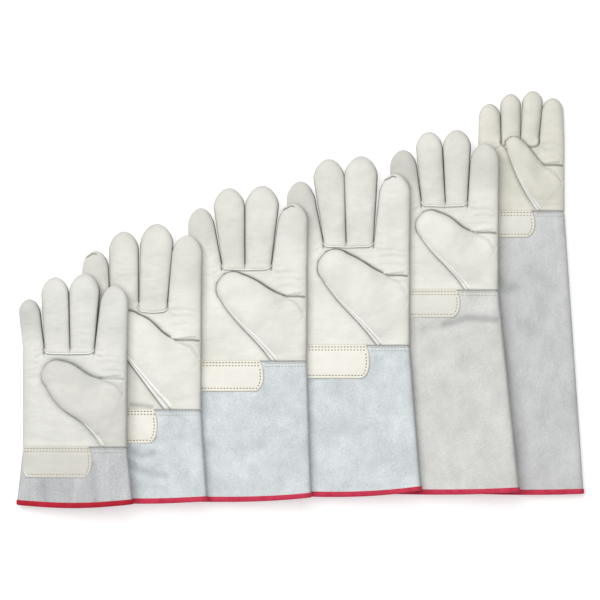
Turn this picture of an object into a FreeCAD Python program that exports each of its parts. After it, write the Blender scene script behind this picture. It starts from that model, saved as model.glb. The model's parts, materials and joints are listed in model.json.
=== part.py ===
"""Six right-hand leather gauntlet gloves laid in an overlapping row, palms up.

Each glove is drawn flat in its own frame: the corner where the hem meets the little-finger
side is at the origin, +X runs across the hand, +Y runs to the fingertips and +Z points out
of the palm. The glove is then leaned on its right-hand neighbour and set in the row frame,
which has its origin on the floor under the middle of the row.
"""
import FreeCAD, Part
import math
import os
import Sketcher
from FreeCAD import Placement, Rotation, Vector

GLOVES = (1, 2, 3, 4, 5, 6)
FINGERS = ("little", "ring", "middle", "index")

# Fingers that can't curl because the next glove's edge lies on them.
PINNED = ((2, "little"), (2, "ring"), (3, "little"), (4, "little"), (5, "little"))

SHARED = {
    "thickness": 12.0,          # a glove lying flat, palm face to back face
    "leather": 1.3,
    "binding_wall": 1.8,        # cuff leather with the tape folded over it
    "binding_height": 5.0,
    "joint_gap": 0.3,           # between pieces that move against each other
    "finger_gap": 3.2,          # at the roots, so that a curled finger clears the next one
    "thumb_foot_rise": 2.0,     # thumb's lower corner above the wrist seam
    "thumb_wall": 0.08,         # root wall of the thumb, as a share of its reach
    "hole_near": 0.12,          # thumb hole's near edge, as a share of that reach
    "hole_far": 0.30,
    "tab_start": 1.0,
    "tab_lap": 0.5,             # tab's upper edge past the wrist seam
    "tab_corner": 9.0,
}

# One value for each glove, from the shortest gauntlet to the longest, in millimetres.
PER_GLOVE = {
    "across": (19.5, 84.0, 195.5, 299.5, 408.5, 498.0),
    "along": (6.0, 9.5, 9.5, 15.5, 17.5, 17.5),
    "raised": (16.0, 14.8, 14.8, 14.8, 14.8, 0.0),
    "hem_width": (125.5, 135.5, 133.5, 144.5, 139.0, 114.5),
    "cuff_length": (60.5, 96.0, 147.0, 157.5, 213.5, 296.5),
    "palm_inset": (6.5, 2.0, 3.0, 3.0, 3.0, 4.0),
    "palm_width": (113.0, 127.5, 126.0, 129.5, 114.0, 90.5),
    "palm_length": (103.5, 113.0, 101.5, 108.5, 93.0, 78.5),
    "little_crotch": (23.5, 31.0, 36.0, 38.5, 32.5, 24.0),
    "ring_crotch": (51.5, 61.5, 60.5, 62.5, 58.0, 44.5),
    "middle_crotch": (78.0, 92.0, 88.5, 91.5, 81.5, 64.0),
    "little_centre": (7.0, 15.5, 13.5, 14.0, 13.0, 12.0),
    "ring_centre": (35.0, 45.5, 43.5, 44.0, 40.5, 34.0),
    "middle_centre": (67.0, 80.5, 78.5, 78.0, 70.0, 57.0),
    "index_centre": (99.5, 112.5, 111.5, 114.0, 99.5, 78.0),
    "little_length": (51.5, 53.5, 59.0, 63.5, 54.0, 34.0),
    "ring_length": (74.5, 74.0, 80.0, 87.0, 73.0, 44.5),
    "middle_length": (78.5, 82.0, 82.5, 90.0, 75.0, 47.5),
    "index_length": (66.0, 70.0, 64.0, 71.5, 60.5, 40.0),
    "little_radius": (10.75, 13.0, 12.5, 13.5, 13.0, 10.25),
    "ring_radius": (14.25, 15.0, 16.0, 16.0, 13.25, 9.75),
    "middle_radius": (16.0, 17.0, 17.25, 17.0, 14.0, 9.75),
    "index_radius": (14.0, 15.0, 14.5, 15.25, 14.0, 10.0),
    "thumb_crotch": (66.5, 55.0, 51.5, 47.0, 45.0, 30.0),
    "thumb_foot": (85.0, 87.0, 87.0, 93.5, 77.5, 59.5),
    "thumb_centre": (39.5, 51.0, 49.5, 52.5, 44.0, 37.5),
    "thumb_height": (74.5, 84.0, 75.5, 81.5, 67.5, 69.0),
    "thumb_radius": (16.5, 19.5, 18.0, 19.0, 16.0, 9.0),
    "thumb_thickness": (9.0, 5.5, 9.0, 9.0, 9.0, 9.0),
    "tab_length": (75.5, 81.0, 80.0, 87.0, 73.5, 58.5),
    "tab_depth": (33.0, 36.0, 32.5, 35.5, 29.5, 28.5),
}


def make_sheet(doc):
    """Writes every driving dimension into the sheet, each under its own alias."""
    sheet = doc.addObject("Spreadsheet::Sheet", "Dimensions")
    named = dict(SHARED)
    for name, values in PER_GLOVE.items():
        for glove, value in zip(GLOVES, values):
            named[f"glove{glove}_{name}"] = value
    for row, (name, value) in enumerate(named.items(), start=1):
        sheet.set(f"A{row}", name)
        sheet.set(f"B{row}", str(value))
        sheet.setAlias(f"B{row}", name)
    doc.recompute()
    return sheet


def cell(name, glove=None):
    """The expression that reads one dimension, shared or of one glove."""
    return f"Dimensions.{name}" if glove is None else f"Dimensions.glove{glove}_{name}"


def value(name, glove=None):
    return float(getattr(sheet, name if glove is None else f"glove{glove}_{name}"))


def evaluate(expression):
    """The number that an expression of sheet cells gives."""
    return float(sheet.evalExpression(expression))


def new_body(name):
    body = doc.addObject("PartDesign::Body", name)
    body.Label = name
    return body


def new_sketch(body, name, level):
    """A sketch parallel to the palm, lifted to level (an expression) above its back face."""
    sketch = body.newObject("Sketcher::SketchObject", f"{body.Name}_{name}")
    plane = [feature for feature in body.Origin.OriginFeatures if feature.Role == "XY_Plane"][0]
    sketch.AttachmentSupport = [(plane, "")]
    sketch.MapMode = "FlatFace"
    sketch.setExpression("AttachmentOffset.Base.z", level)
    return sketch


def pin_point(sketch, geometry, end, corner, tag):
    """Holds one end of a sketch line, or an arc's centre, at a corner given as expressions."""
    for axis, expression in zip(("DistanceX", "DistanceY"), corner):
        datum = evaluate(expression)
        index = sketch.addConstraint(Sketcher.Constraint(axis, geometry, end, datum))
        name = f"{tag}_{axis[-1].lower()}"
        sketch.renameConstraint(index, name)
        sketch.setExpression(f"Constraints.{name}", expression)


def polygon_sketch(body, name, level, corners):
    """A closed polygon through corners, each an (across, along) pair of expressions."""
    sketch = new_sketch(body, name, level)
    points = [Vector(evaluate(across), evaluate(along), 0) for across, along in corners]
    count = len(points)
    for number in range(count):
        sketch.addGeometry(Part.LineSegment(points[number], points[(number + 1) % count]))
    for number in range(count):
        following = (number + 1) % count
        sketch.addConstraint(Sketcher.Constraint("Coincident", number, 2, following, 1))
    for number, corner in enumerate(corners):
        pin_point(sketch, number, 1, corner, f"corner{number}")
    return sketch


def tangent_point(outside, centre, radius, side):
    """Where a line from a point outside a circle touches it, on its left (1) or right (-1)."""
    reach = centre - outside
    distance = reach.Length
    turn = side * math.acos(radius / distance)
    back = math.atan2(-reach.y, -reach.x)
    return centre + Vector(math.cos(back + turn), math.sin(back + turn), 0) * radius


def stall_sketch(body, name, level, start, finish, centre, radius):
    """A finger's outline: a straight root from start to finish and a round tip beyond it."""
    sketch = new_sketch(body, name, level)
    first, last, middle = (Vector(evaluate(x), evaluate(y), 0) for x, y in (start, finish, centre))
    size = evaluate(radius)
    right = tangent_point(last, middle, size, 1)
    left = tangent_point(first, middle, size, -1)
    angles = [math.atan2(point.y - middle.y, point.x - middle.x) for point in (right, left)]
    if angles[1] < angles[0]:
        angles[1] += 2 * math.pi
    root, right_side, left_side = 0, 1, 3
    sketch.addGeometry(Part.LineSegment(first, last))
    sketch.addGeometry(Part.LineSegment(last, right))
    tip = sketch.addGeometry(Part.ArcOfCircle(Part.Circle(middle, Vector(0, 0, 1), size), *angles))
    sketch.addGeometry(Part.LineSegment(left, first))
    sketch.addConstraint(Sketcher.Constraint("Coincident", root, 2, right_side, 1))
    sketch.addConstraint(Sketcher.Constraint("Tangent", right_side, 2, tip, 1))
    sketch.addConstraint(Sketcher.Constraint("Tangent", tip, 2, left_side, 1))
    sketch.addConstraint(Sketcher.Constraint("Coincident", left_side, 2, root, 1))
    pin_point(sketch, root, 1, start, "start")
    pin_point(sketch, root, 2, finish, "finish")
    pin_point(sketch, tip, 3, centre, "centre")
    sketch.renameConstraint(
        sketch.addConstraint(Sketcher.Constraint("Radius", tip, size)), "tip_radius")
    sketch.setExpression("Constraints.tip_radius", radius)
    return sketch


def pad(body, sketch, length):
    feature = body.newObject("PartDesign::Pad", f"{sketch.Name}_pad")
    feature.Profile = sketch
    feature.setExpression("Length", length)
    doc.recompute()
    return feature


def pocket(body, sketch, length):
    """Cuts from the sketch's level towards the palm face, and checks that something went."""
    before = body.Shape.Volume
    feature = body.newObject("PartDesign::Pocket", f"{sketch.Name}_pocket")
    feature.Profile = sketch
    feature.Reversed = True
    feature.setExpression("Length", length)
    doc.recompute()
    if body.Shape.Volume > before - 1.0:
        raise RuntimeError(f"{feature.Name} cuts nothing")
    return feature


def palm_left(glove):
    return cell("palm_inset", glove)


def palm_right(glove):
    return f"{palm_left(glove)} + {cell('palm_width', glove)}"


def wrist(glove):
    return cell("cuff_length", glove)


def knuckles(glove):
    return f"{wrist(glove)} + {cell('palm_length', glove)}"


def half_hand(glove, name, level, floor_level, roof):
    """One face of the hand with its two side walls, open at the wrist and at the knuckles."""
    body = new_body(name)
    corners = [(palm_left(glove), wrist(glove)), (palm_right(glove), wrist(glove)),
               (palm_right(glove), knuckles(glove)), (palm_left(glove), knuckles(glove))]
    pad(body, polygon_sketch(body, "outline", level, corners), f"{cell('thickness')} / 2")
    wall = cell("leather")
    inner = [(f"{palm_left(glove)} + {wall}", wrist(glove)),
             (f"{palm_right(glove)} - {wall}", wrist(glove)),
             (f"{palm_right(glove)} - {wall}", knuckles(glove)),
             (f"{palm_left(glove)} + {wall}", knuckles(glove))]
    pocket(body, polygon_sketch(body, "hollow", floor_level, inner), roof)
    return body


def thumb_corners(glove):
    """The thumb's lower corner at the wrist, its crotch at the hand's edge, and its tip."""
    foot = (f"{palm_left(glove)} + {cell('thumb_foot', glove)}",
            f"{wrist(glove)} + {cell('thumb_foot_rise')}")
    crotch = (palm_right(glove), f"{wrist(glove)} + {cell('thumb_crotch', glove)}")
    centre = (f"{palm_left(glove)} + {cell('thumb_centre', glove)}",
              f"{wrist(glove)} + {cell('thumb_height', glove)}")
    return foot, crotch, centre


def towards(start, target, share):
    """The point a share of the way from start to target."""
    return tuple(f"({one}) + {share} * (({other}) - ({one}))" for one, other in zip(start, target))


def thumb_hole(glove):
    """The strip beside the thumb's root where the hand's hollow opens into the thumb's."""
    foot, crotch, centre = thumb_corners(glove)
    near, far = cell("hole_near"), cell("hole_far")
    return [towards(foot, centre, near), towards(crotch, centre, near),
            towards(crotch, centre, far), towards(foot, centre, far)]


def make_palm(glove):
    half = f"{cell('thickness')} / 2"
    body = half_hand(glove, f"glove{glove}_palm", half, half, f"{half} - {cell('leather')}")
    level = f"{cell('thickness')} - {cell('leather')}"
    pocket(body, polygon_sketch(body, "thumb_hole", level, thumb_hole(glove)), cell("leather"))
    return body


def make_back(glove):
    roof = f"{cell('thickness')} / 2 - {cell('leather')}"
    return half_hand(glove, f"glove{glove}_back", "0 mm", cell("leather"), roof)


def finger_edges(glove, finger):
    """Where the finger's two sides leave the knuckle line, measured across the glove."""
    order = FINGERS.index(finger)
    half_gap = f"{cell('finger_gap')} / 2"
    left = palm_left(glove)
    right = palm_right(glove)
    if order > 0:
        left = f"{palm_left(glove)} + {cell(FINGERS[order - 1] + '_crotch', glove)} + {half_gap}"
    if order < len(FINGERS) - 1:
        right = f"{palm_left(glove)} + {cell(finger + '_crotch', glove)} - {half_gap}"
    return left, right


def make_finger(glove, finger):
    """A hollow stall, closed at the tip and open to the hand at its root."""
    body = new_body(f"glove{glove}_{finger}_finger")
    left, right = finger_edges(glove, finger)
    fixed = (glove, finger) in PINNED
    root = knuckles(glove) if fixed else f"{knuckles(glove)} + {cell('joint_gap')}"
    radius = cell(f"{finger}_radius", glove)
    centre = (f"{palm_left(glove)} + {cell(finger + '_centre', glove)}",
              f"{knuckles(glove)} + {cell(finger + '_length', glove)} - {radius}")
    thick, wall = cell("thickness"), cell("leather")
    pad(body, stall_sketch(body, "outline", "0 mm", (left, root), (right, root), centre, radius),
        thick)
    hollow = stall_sketch(body, "hollow", wall, (f"{left} + {wall}", root),
                          (f"{right} - {wall}", root), centre, f"{radius} - {wall}")
    pocket(body, hollow, f"{thick} - 2 * {wall}")
    return body


def make_thumb(glove):
    """A hollow thumb folded across the palm, open underneath where it joins the hand."""
    body = new_body(f"glove{glove}_thumb")
    foot, crotch, centre = thumb_corners(glove)
    radius = cell("thumb_radius", glove)
    wall = cell("leather")
    under = f"{cell('thickness')} + {cell('joint_gap')}"
    pad(body, stall_sketch(body, "outline", under, foot, crotch, centre, radius),
        cell("thumb_thickness", glove))
    share = cell("thumb_wall")
    hollow = stall_sketch(body, "hollow", f"{under} + {wall}", towards(foot, centre, share),
                          towards(crotch, centre, share), centre, f"{radius} - {wall}")
    pocket(body, hollow, f"{cell('thumb_thickness', glove)} - 2 * {wall}")
    pocket(body, polygon_sketch(body, "hole", under, thumb_hole(glove)), wall)
    return body


def make_cuff(glove):
    """A flared sleeve, open at the wrist and at the hem."""
    body = new_body(f"glove{glove}_cuff")
    low, wall, thick = cell("binding_height"), cell("leather"), cell("thickness")
    wide = cell("hem_width", glove)
    corners = [("0 mm", low), (wide, low), (palm_right(glove), wrist(glove)),
               (palm_left(glove), wrist(glove))]
    pad(body, polygon_sketch(body, "outline", "0 mm", corners), thick)
    inner = [(wall, low), (f"{wide} - {wall}", low),
             (f"{palm_right(glove)} - {wall}", wrist(glove)),
             (f"{palm_left(glove)} + {wall}", wrist(glove))]
    pocket(body, polygon_sketch(body, "hollow", wall, inner), f"{thick} - 2 * {wall}")
    return body


def make_binding(glove):
    """The tape round the mouth of the cuff."""
    body = new_body(f"glove{glove}_hem_binding")
    tall, wall, thick = cell("binding_height"), cell("binding_wall"), cell("thickness")
    wide = cell("hem_width", glove)
    corners = [("0 mm", "0 mm"), (wide, "0 mm"), (wide, tall), ("0 mm", tall)]
    pad(body, polygon_sketch(body, "outline", "0 mm", corners), thick)
    inner = [(wall, "0 mm"), (f"{wide} - {wall}", "0 mm"), (f"{wide} - {wall}", tall), (wall, tall)]
    pocket(body, polygon_sketch(body, "mouth", wall, inner), f"{thick} - 2 * {wall}")
    return body


def make_tab(glove):
    """The leather tab sewn over the wrist seam, with its free end rounded."""
    body = new_body(f"glove{glove}_wrist_tab")
    left = f"{palm_left(glove)} + {cell('tab_start')}"
    right = f"{left} + {cell('tab_length', glove)}"
    top = f"{wrist(glove)} + {cell('tab_lap')}"
    bottom = f"{top} - {cell('tab_depth', glove)}"
    corners = [(left, bottom), (right, bottom), (right, top), (left, top)]
    plate = pad(body, polygon_sketch(body, "outline", cell("thickness"), corners), cell("leather"))
    end = evaluate(right)
    upright = [f"Edge{number}" for number, edge in enumerate(plate.Shape.Edges, start=1)
               if all(abs(vertex.X - end) < 1e-6 for vertex in edge.Vertexes)
               and abs(edge.tangentAt(edge.FirstParameter).z) > 0.5]
    rounding = body.newObject("PartDesign::Fillet", f"{body.Name}_rounding")
    rounding.Base = (plate, upright)
    rounding.setExpression("Radius", cell("tab_corner"))
    doc.recompute()
    return body


def make_glove(glove):
    stalls = [make_finger(glove, finger) for finger in FINGERS]
    return [make_palm(glove), make_back(glove), *stalls, make_thumb(glove), make_cuff(glove),
            make_tab(glove), make_binding(glove)]


def lean(glove):
    """The angle in degrees at which a glove lies, its right side up on its neighbour."""
    if glove == GLOVES[-1]:
        return 0.0
    pitch = value("across", glove + 1) - value("across", glove)
    return math.degrees(math.atan2(value("raised", glove), pitch))


def glove_placement(glove, middle):
    """Where a glove's own frame lies in the row frame, for a given middle of the row."""
    corner = Vector(value("across", glove), value("along", glove), 0) - middle
    return Placement(corner, Rotation(Vector(0, 1, 0), -lean(glove)))


def row_middle():
    """The middle of the row on the floor, before the row is moved to the origin."""
    box = FreeCAD.BoundBox()
    for glove, bodies in pieces.items():
        for body in bodies:
            shape = body.Shape.copy()
            shape.Placement = glove_placement(glove, Vector(0, 0, 0))
            box.add(shape.BoundBox)
    return Vector(box.Center.x, box.Center.y, 0)


def check_objects():
    for item in doc.Objects:
        if "Invalid" in item.State or "Error" in item.State:
            raise RuntimeError(f"{item.Name} failed: {item.State}")
    for bodies in pieces.values():
        for body in bodies:
            if body.Shape.isNull() or not body.Shape.isValid() or len(body.Shape.Solids) != 1:
                raise RuntimeError(f"{body.Label} isn't one valid solid")


doc = FreeCAD.newDocument("beekeeping_gloves")
sheet = make_sheet(doc)
pieces = {glove: make_glove(glove) for glove in GLOVES}
middle = row_middle()
for glove, bodies in pieces.items():
    for body in bodies:
        body.Placement = glove_placement(glove, middle)
doc.recompute()
check_objects()

os.makedirs("parts", exist_ok=True)
for bodies in pieces.values():
    for body in bodies:
        body.Shape.exportStep(f"parts/{body.Label}.step")
        print(f"{body.Label:28s} {body.Shape.Volume / 1000:8.2f} cm3")
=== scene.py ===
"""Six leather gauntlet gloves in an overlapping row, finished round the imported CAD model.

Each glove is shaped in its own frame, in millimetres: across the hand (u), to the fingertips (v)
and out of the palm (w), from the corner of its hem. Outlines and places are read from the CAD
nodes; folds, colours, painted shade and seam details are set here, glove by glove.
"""
import json
import math

import bpy
import numpy as np
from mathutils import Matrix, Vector, noise

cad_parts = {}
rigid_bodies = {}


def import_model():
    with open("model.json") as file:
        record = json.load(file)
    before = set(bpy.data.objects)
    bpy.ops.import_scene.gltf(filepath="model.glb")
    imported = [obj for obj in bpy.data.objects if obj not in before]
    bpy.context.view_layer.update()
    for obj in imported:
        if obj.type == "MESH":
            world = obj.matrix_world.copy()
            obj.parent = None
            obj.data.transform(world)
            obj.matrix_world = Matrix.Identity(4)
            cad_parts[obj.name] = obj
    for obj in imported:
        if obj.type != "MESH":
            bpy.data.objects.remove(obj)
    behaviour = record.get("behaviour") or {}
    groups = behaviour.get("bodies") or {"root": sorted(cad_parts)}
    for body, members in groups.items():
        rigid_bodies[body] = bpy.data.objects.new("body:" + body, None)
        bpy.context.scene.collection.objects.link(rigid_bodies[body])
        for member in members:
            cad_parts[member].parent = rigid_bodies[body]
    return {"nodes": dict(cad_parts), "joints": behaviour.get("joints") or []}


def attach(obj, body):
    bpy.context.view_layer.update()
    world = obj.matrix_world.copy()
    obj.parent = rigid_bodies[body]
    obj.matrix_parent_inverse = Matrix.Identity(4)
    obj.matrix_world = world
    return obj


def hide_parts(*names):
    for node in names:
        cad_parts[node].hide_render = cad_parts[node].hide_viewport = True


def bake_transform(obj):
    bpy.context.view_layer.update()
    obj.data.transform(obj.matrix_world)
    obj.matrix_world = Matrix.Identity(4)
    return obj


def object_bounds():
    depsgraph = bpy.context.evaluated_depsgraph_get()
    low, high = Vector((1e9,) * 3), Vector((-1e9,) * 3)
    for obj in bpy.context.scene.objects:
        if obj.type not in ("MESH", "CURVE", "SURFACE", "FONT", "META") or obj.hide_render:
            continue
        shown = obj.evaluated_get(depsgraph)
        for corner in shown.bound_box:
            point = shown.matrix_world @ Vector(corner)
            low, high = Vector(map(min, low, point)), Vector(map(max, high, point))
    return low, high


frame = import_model()
CAD_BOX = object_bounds()

MM = 0.001
FINGERS = ("little", "ring", "middle", "index")
GLOVES = (1, 2, 3, 4, 5, 6)
LEATHER = 1.2            # wall of the hand and fingers
SUEDE = 1.3              # wall of the cuff


# ---------------------------------------------------------------- glove frames and CAD sizes

def fit_circle(points):
    """Centre and radius of the circle through a set of flat points."""
    matrix = np.column_stack([2 * points, np.ones(len(points))])
    x, y, rest = np.linalg.lstsq(matrix, (points ** 2).sum(axis=1), rcond=None)[0]
    return np.array([x, y]), math.sqrt(rest + x * x + y * y)


class Glove:
    """One glove's frame and the sizes of its CAD nodes, in millimetres."""

    def __init__(self, number):
        self.number = number
        self.body = f"glove{number}"
        cuff = frame["nodes"][f"{self.body}_cuff"].data
        out = sum((face.normal * face.area for face in cuff.polygons if face.normal.z > 0.8),
                  Vector())
        out.normalize()
        along = Vector((0, 1, 0))
        self.axes = np.array([along.cross(out), along, out])
        self.origin = np.zeros(3)
        self.origin = self.axes.T @ self.local("hem_binding").min(axis=0) * MM
        high = self.local("hem_binding").max(axis=0)
        self.hem_width, self.tape, self.thick = high
        low, high = self.span("palm")
        self.left, self.wrist = low[:2]
        self.right, self.knuckles = high[:2]
        self.middle = self.thick / 2
        self.stalls = {name: self.stall(f"{name}_finger") for name in FINGERS}
        self.thumb = self.stall("thumb")
        self.tab = self.span("wrist_tab")

    def local(self, node):
        """A node's points in the glove's own frame, in millimetres."""
        mesh = frame["nodes"][f"{self.body}_{node}"].data
        points = np.array([vertex.co for vertex in mesh.vertices])
        return (points - self.origin) @ self.axes.T / MM

    def span(self, node):
        points = self.local(node)
        return points.min(axis=0), points.max(axis=0)

    def to_row(self, points):
        return np.asarray(points) * MM @ self.axes + self.origin

    def stall(self, node):
        """Root corners, tip centre and tip radius of a finger or the thumb, seen flat."""
        points = self.local(node)
        flat = np.unique(points[points[:, 2] > points[:, 2].max() - 0.01][:, :2].round(3), axis=0)
        if node == "thumb":
            start, finish = flat[flat[:, 1].argmin()], flat[flat[:, 0].argmax()]
        else:
            root = flat[flat[:, 1] < flat[:, 1].min() + 0.01]
            start, finish = root[root[:, 0].argmin()], root[root[:, 0].argmax()]
        on_tip = [p for p in flat if min(np.abs(p - start).max(), np.abs(p - finish).max()) > 0.01]
        centre, radius = fit_circle(np.array(on_tip))
        return start, finish, centre, radius


# ---------------------------------------------------------------- meshes

def add_object(name, data):
    """Puts a mesh, a light or the camera into the scene."""
    thing = bpy.data.objects.new(name, data)
    bpy.context.scene.collection.objects.link(thing)
    return thing


def make_object(name, points, faces, materials):
    mesh = bpy.data.meshes.new(name)
    mesh.from_pydata(np.asarray(points).tolist(), [], faces)
    mesh.validate()
    mesh.update()
    piece = add_object(name, mesh)
    for material in materials:
        mesh.materials.append(material)
    mesh.shade_smooth()
    return piece


def ring_faces(rows, columns, start=0):
    """Faces of a tube of rings, each ring running anticlockwise seen from its far end."""
    faces = []
    for row in range(rows - 1):
        for column in range(columns):
            following = (column + 1) % columns
            one, two = start + row * columns, start + (row + 1) * columns
            faces.append((one + column, one + following, two + following, two + column))
    return faces


def end_caps(rows, columns, start=0):
    last = start + (rows - 1) * columns
    return [tuple(range(start + columns - 1, start - 1, -1)), tuple(range(last, last + columns))]


class Skin:
    """A tube of rings with a lining, open at its ends or closed at a tip.

    The lining has half the rings and half the columns, and follows the plain rings, which have no
    folds. Shade is how much painted shade, a dark colour mixed into the leather, each place takes,
    from 0 to 1."""

    def __init__(self, name, rings, wall, tip=None, plain=None, shade=None):
        self.name = name
        self.wall = wall
        self.tip = tip
        self.rows, self.columns = rings.shape[:2]
        self.points = rings.reshape(-1, 3)
        self.plain = (rings if plain is None else plain).reshape(-1, 3)
        self.shade = np.zeros(len(self.points)) if shade is None else shade.ravel()
        self.faces = ring_faces(self.rows, self.columns)
        if tip is not None:
            last = (self.rows - 1) * self.columns
            self.points = np.vstack([self.points, tip])
            self.plain = np.vstack([self.plain, tip])
            self.shade = np.append(self.shade, 0.0)
            self.faces += [(last + c, last + (c + 1) % self.columns, len(self.points) - 1)
                           for c in range(self.columns)]
        self.normals = None

    def lining(self):
        """Which points the lining keeps, its faces, and the faces that close the open rims."""
        columns, count = self.columns, len(self.points)
        rows = list(range(0, self.rows, 2))
        if rows[-1] != self.rows - 1:
            rows.append(self.rows - 1)
        kept = [row * columns + column for row in rows for column in range(0, columns, 2)]
        half = columns // 2
        faces = [tuple(reversed(face)) for face in ring_faces(len(rows), half, count)]
        rims = [(0, 0)]
        if self.tip is None:
            rims.append((self.rows - 1, len(rows) - 1))
        else:
            kept.append(count - 1)
            last = count + (len(rows) - 1) * half
            faces += [(last + (c + 1) % half, last + c, count + len(kept) - 1)
                      for c in range(half)]
        for outer, inner in rims:
            for c in range(half):
                one, two = 2 * c, (2 * c + 2) % columns
                face = (outer * columns + one, outer * columns + one + 1, outer * columns + two,
                        count + inner * half + (c + 1) % half, count + inner * half + c)
                faces.append(face[::-1] if outer == 0 else face)
        return kept, faces

    def build(self, materials):
        """Adds the lining, and makes the object."""
        count = len(self.points)
        kept, faces = self.lining()
        inner = self.plain[kept] - self.normals[kept] * self.wall * MM
        piece = make_object(self.name, np.vstack([self.points, inner]), self.faces + faces,
                            materials)
        custom = np.zeros((count + len(kept), 3))
        custom[:count] = self.normals
        piece.data.normals_split_custom_set_from_vertices(custom.tolist())
        set_shade(piece, np.concatenate([self.shade, np.zeros(len(kept))]))
        return piece


# Stores how much of the dark mix colour each point takes: painted shade on most pieces, the raw
# edge's own colour on the tabs.
def set_shade(piece, shade):
    attribute = piece.data.attributes.new("shade", "FLOAT", "POINT")
    attribute.data.foreach_set("value", np.clip(shade, 0, 1).astype(np.float32))


def sheet_piece(glove, name, front, thickness, material, shade=None):
    """A closed piece of leather below a grid of front points in the glove's own frame."""
    rows, columns = front.shape[:2]
    count = rows * columns
    under = front - [0.0, 0.0, thickness]
    faces = []
    for row in range(rows - 1):
        for column in range(columns - 1):
            one = row * columns + column
            face = (one, one + 1, one + columns + 1, one + columns)
            faces.append(face)
            faces.append(tuple(count + i for i in reversed(face)))
    grid = np.arange(count).reshape(rows, columns)
    border = np.concatenate([grid[0], grid[1:, -1], grid[-1, -2::-1], grid[-2:0:-1, 0]]).tolist()
    for one, two in zip(border, border[1:] + border[:1]):
        faces.append((one, count + one, count + two, two))
    points = np.vstack([front.reshape(-1, 3), under.reshape(-1, 3)])
    piece = make_object(name, glove.to_row(points), faces, [material])
    if shade is not None:
        set_shade(piece, np.concatenate([shade.ravel(), shade.ravel()]))
    return piece


def path_lengths(path):
    """How far along a path each of its points lies."""
    return np.concatenate([[0.0], np.cumsum(np.linalg.norm(np.diff(path, axis=0), axis=1))])


def along_path(places, lengths, path):
    """Points of a path at places measured like its lengths."""
    return np.column_stack([np.interp(places, lengths, values) for values in path.T])


def round_ring(centre, beside, out, radius, sides):
    """The round section of a cord or a thread."""
    angles = np.linspace(0, 2 * math.pi, sides, endpoint=False)
    return centre + radius * (np.outer(np.cos(angles), beside) - np.outer(np.sin(angles), out))


CORD_SIDES = 8


def tube_piece(glove, name, path, radius, material):
    """A round cord of leather along a path in the glove's own frame, tapered at both ends."""
    path = np.asarray(path, float)
    ahead = np.gradient(path, axis=0)
    ahead /= np.linalg.norm(ahead, axis=1)[:, None]
    beside = np.cross(ahead, [0.0, 0.0, 1.0])
    beside /= np.linalg.norm(beside, axis=1)[:, None]
    out = np.cross(beside, ahead)
    count = len(path)
    ends = np.minimum(np.arange(count), np.arange(count)[::-1])
    size = radius * np.sqrt(np.clip((ends + 0.4) / 3.0, 0, 1))
    rings = [round_ring(path[i], beside[i], out[i], size[i], CORD_SIDES) for i in range(count)]
    faces = ring_faces(count, CORD_SIDES) + end_caps(count, CORD_SIDES)
    return make_object(name, glove.to_row(np.array(rings).reshape(-1, 3)), faces, [material])


STITCH_PITCH = 3.4       # one stitch and the gap after it
STITCH_LENGTH = 2.0
STITCH_SIDES = 6
STITCH_STATIONS = ((-1.0, 0.3, -0.35), (-0.7, 0.85, 0.0), (0.0, 1.0, 0.12), (0.7, 0.85, 0.0),
                   (1.0, 0.3, -0.35))    # (along, thickness, lift) from end to end


def stitches(glove, name, paths, radius, material):
    """Rows of thread stitches lying on the leather along paths in the glove's own frame."""
    points, faces = [], []
    for path in paths:
        lengths = path_lengths(path)
        for middle in np.arange(STITCH_PITCH / 2, lengths[-1], STITCH_PITCH):
            place, ahead = along_path([middle, middle + 0.6], lengths, path)
            ahead = (ahead - place) / max(np.linalg.norm(ahead - place), 1e-6)
            beside = np.cross(ahead, [0.0, 0.0, 1.0])
            out = np.cross(beside, ahead)
            start = len(points)
            for along, size, lift in STITCH_STATIONS:
                centre = place + ahead * along * STITCH_LENGTH / 2 + out * lift * radius
                points.extend(round_ring(centre, beside, out, radius * size, STITCH_SIDES))
            for add_faces in (ring_faces, end_caps):
                faces += add_faces(len(STITCH_STATIONS), STITCH_SIDES, start)
    return make_object(name, glove.to_row(points), faces, [material])


def face_normals(points, faces):
    mesh = bpy.data.meshes.new("scratch")
    mesh.from_pydata(points.tolist(), [], faces)
    mesh.update()
    normals = np.zeros(len(points) * 3)
    mesh.vertices.foreach_get("normal", normals)
    bpy.data.meshes.remove(mesh)
    return normals.reshape(-1, 3)


def share_normals(skins):
    """Gives skins that meet edge to edge the same normals along the edge."""
    points, faces, keys, index_of = [], [], [], {}
    for skin in skins:
        numbers = []
        for point in skin.points:
            key = tuple((point / MM * 100).round().astype(int))
            if key not in index_of:
                index_of[key] = len(points)
                points.append(point)
            numbers.append(index_of[key])
        keys.append(numbers)
        for face in skin.faces:
            mapped = [numbers[i] for i in face]
            if len(set(mapped)) > 2:
                faces.append(tuple(dict.fromkeys(mapped)))
    normals = face_normals(np.array(points), faces)
    for skin, numbers in zip(skins, keys):
        skin.normals = normals[numbers]


# ---------------------------------------------------------------- section shapes

def superellipse(count, power):
    """Across and out parts, each up to 1, of the upper half of a section, left to right."""
    angle = np.linspace(math.pi, 0, count)
    cosine, sine = np.cos(angle), np.sin(angle)
    sine[0] = sine[-1] = 0.0
    return np.sign(cosine) * np.abs(cosine) ** (2 / power), np.abs(sine) ** (2 / power)


def edge_profile(distance, reach, power):
    """0 at an edge rising to 1 at reach from it, rounded like the side of a cushion."""
    inside = np.clip(1 - distance / reach, 0, 1)
    return (1 - inside ** power) ** (1 / power)


def smooth(value, low, high):
    share = np.clip((value - low) / (high - low), 0, 1)
    return share * share * (3 - 2 * share)


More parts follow.
